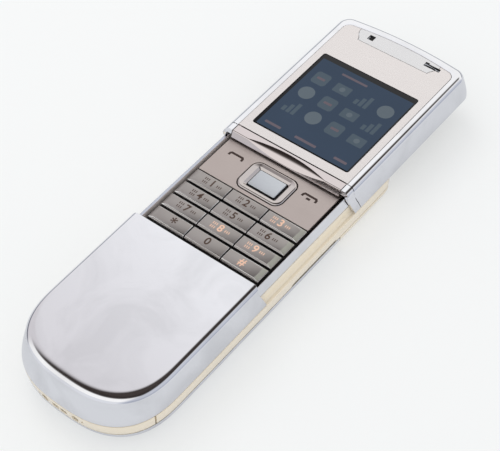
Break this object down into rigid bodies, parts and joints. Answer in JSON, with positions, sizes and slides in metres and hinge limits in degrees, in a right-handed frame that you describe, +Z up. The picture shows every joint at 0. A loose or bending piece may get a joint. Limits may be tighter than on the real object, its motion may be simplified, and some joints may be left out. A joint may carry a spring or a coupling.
{
  "type": "slider phone",
  "caption": "Slim metal slider phone, slid open: a polished base with a keypad and a framed display half that runs on hidden rods.",
  "frame": {"origin": "under the middle of the open phone, on the surface it lies on", "axes": "+Z up, out of the front; +Y along the phone towards the display end; +X across it to the right"},
  "size_m": [0.0462, 0.1542, 0.0175],
  "materials": {
    "polished_steel": "mirror-polished stainless steel",
    "cream_lacquer": "glossy cream lacquer",
    "brushed_plate": "brushed, warm pale steel",
    "taupe_plate": "brushed, warm taupe metal",
    "key_metal": "brushed grey metal with printed plain numbers",
    "select_metal": "satin, blue-grey",
    "black_plastic": "matt black moulding",
    "nylon": "natural nylon",
    "rubber": "moulded silicone rubber",
    "circuit_board": "solder mask",
    "contact_gold": "gold-plated contacts",
    "plain_steel": "pressed or turned steel",
    "battery_sleeve": "shrink sleeve",
    "screen_glass": "cover glass, dark behind",
    "lens_glass": "clear lens window"
  },
  "bodies": {
    "base": {"mid_frame": "cream_lacquer", "bottom_end_cap": "cream_lacquer", "lower_front_cover": "polished_steel", "antenna_cover": "cream_lacquer", "side_rail_right": "polished_steel", "side_rail_left": "polished_steel", "guide_rod_right": "plain_steel", "guide_rod_left": "plain_steel", "keypad_frame": "black_plastic", "keymat": "rubber", "dome_sheet": "plain_steel", "main_board": "circuit_board", "shield_can": "plain_steel", "cover_screw_right": "plain_steel", "cover_screw_left": "plain_steel", "battery": "battery_sleeve", "battery_contacts": "contact_gold", "sim_holder": "plain_steel", "charging_jack": "plain_steel", "system_connector": "black_plastic", "microphone": "plain_steel", "loudspeaker": "black_plastic", "antenna": "contact_gold", "vibration_motor": "plain_steel"},
    "display_half": {"display_shell": "polished_steel", "display_face_plate": "brushed_plate", "earpiece_panel": "brushed_plate", "display_glass": "screen_glass", "display_module": "black_plastic", "thumb_lip": "polished_steel", "lip_end_cap_right": "polished_steel", "lip_end_cap_left": "polished_steel", "inner_slide_plate": "plain_steel", "slide_shoe_right": "nylon", "slide_shoe_left": "nylon", "receiver": "black_plastic", "light_sensor": "black_plastic", "camera_housing": "black_plastic", "camera_module": "black_plastic", "camera_ring": "polished_steel", "camera_lens": "lens_glass"},
    "back_cover": {"battery_cover": "polished_steel"},
    "function_keys": {"function_plate": "taupe_plate"},
    "ring_carrier": {"nav_actuator": "black_plastic"},
    "ring": {"nav_ring": "polished_steel"},
    "select": {"select_key": "select_metal"},
    "vibration_weight": {"motor_weight": "plain_steel"},
    "key_1": {"key_1": "key_metal"},
    "key_2": {"key_2": "key_metal"},
    "key_3": {"key_3": "key_metal"},
    "key_4": {"key_4": "key_metal"},
    "key_5": {"key_5": "key_metal"},
    "key_6": {"key_6": "key_metal"},
    "key_7": {"key_7": "key_metal"},
    "key_8": {"key_8": "key_metal"},
    "key_9": {"key_9": "key_metal"},
    "key_star": {"key_star": "key_metal"},
    "key_0": {"key_0": "key_metal"},
    "key_hash": {"key_hash": "key_metal"}
  },
  "joints": [
    {"name": "display_slide", "type": "slide", "parent": "base", "child": "display_half", "axis": [0, 1, 0], "range_m": [-0.0386, 0]},
    {"name": "battery_cover_slide", "type": "slide", "parent": "base", "child": "back_cover", "axis": [0, -1, 0], "range_m": [0, 0.004]},
    {"name": "function_plate_rock", "type": "hinge", "parent": "base", "child": "function_keys", "pos_m": [0, 0.00815, 0.01415], "axis": [0, 1, 0], "range_deg": [-0.6, 0.6], "stiffness_Nm_per_rad": 1.5},
    {"name": "ring_up_down", "type": "hinge", "parent": "base", "child": "ring_carrier", "pos_m": [0, 0.00815, 0.0131], "axis": [1, 0, 0], "range_deg": [-1, 1], "stiffness_Nm_per_rad": 0.5},
    {"name": "ring_left_right", "type": "hinge", "parent": "ring_carrier", "child": "ring", "pos_m": [0, 0.00815, 0.0131], "axis": [0, 1, 0], "range_deg": [-1, 1], "stiffness_Nm_per_rad": 0.6},
    {"name": "select_press", "type": "slide", "parent": "base", "child": "select", "axis": [0, 0, -1], "range_m": [0, 0.0003], "stiffness_N_per_m": 4000, "springref_m": -0.0001},
    {"name": "vibration_weight_spin", "type": "hinge", "parent": "base", "child": "vibration_weight", "pos_m": [-0.008, -0.03425, 0.01398], "axis": [0, 1, 0], "continuous": true},
    {"name": "key_1_press", "type": "slide", "parent": "base", "child": "key_1", "axis": [0, 0, -1], "range_m": [0, 0.00035], "stiffness_N_per_m": 4000, "springref_m": -0.0001},
    {"name": "key_2_press", "type": "slide", "parent": "base", "child": "key_2", "axis": [0, 0, -1], "range_m": [0, 0.00035], "stiffness_N_per_m": 4000, "springref_m": -0.0001},
    {"name": "key_3_press", "type": "slide", "parent": "base", "child": "key_3", "axis": [0, 0, -1], "range_m": [0, 0.00035], "stiffness_N_per_m": 4000, "springref_m": -0.0001},
    {"name": "key_4_press", "type": "slide", "parent": "base", "child": "key_4", "axis": [0, 0, -1], "range_m": [0, 0.00035], "stiffness_N_per_m": 4000, "springref_m": -0.0001},
    {"name": "key_5_press", "type": "slide", "parent": "base", "child": "key_5", "axis": [0, 0, -1], "range_m": [0, 0.00035], "stiffness_N_per_m": 4000, "springref_m": -0.0001},
    {"name": "key_6_press", "type": "slide", "parent": "base", "child": "key_6", "axis": [0, 0, -1], "range_m": [0, 0.00035], "stiffness_N_per_m": 4000, "springref_m": -0.0001},
    {"name": "key_7_press", "type": "slide", "parent": "base", "child": "key_7", "axis": [0, 0, -1], "range_m": [0, 0.00035], "stiffness_N_per_m": 4000, "springref_m": -0.0001},
    {"name": "key_8_press", "type": "slide", "parent": "base", "child": "key_8", "axis": [0, 0, -1], "range_m": [0, 0.00035], "stiffness_N_per_m": 4000, "springref_m": -0.0001},
    {"name": "key_9_press", "type": "slide", "parent": "base", "child": "key_9", "axis": [0, 0, -1], "range_m": [0, 0.00035], "stiffness_N_per_m": 4000, "springref_m": -0.0001},
    {"name": "key_star_press", "type": "slide", "parent": "base", "child": "key_star", "axis": [0, 0, -1], "range_m": [0, 0.00035], "stiffness_N_per_m": 4000, "springref_m": -0.0001},
    {"name": "key_0_press", "type": "slide", "parent": "base", "child": "key_0", "axis": [0, 0, -1], "range_m": [0, 0.00035], "stiffness_N_per_m": 4000, "springref_m": -0.0001},
    {"name": "key_hash_press", "type": "slide", "parent": "base", "child": "key_hash", "axis": [0, 0, -1], "range_m": [0, 0.00035], "stiffness_N_per_m": 4000, "springref_m": -0.0001}
  ]
}
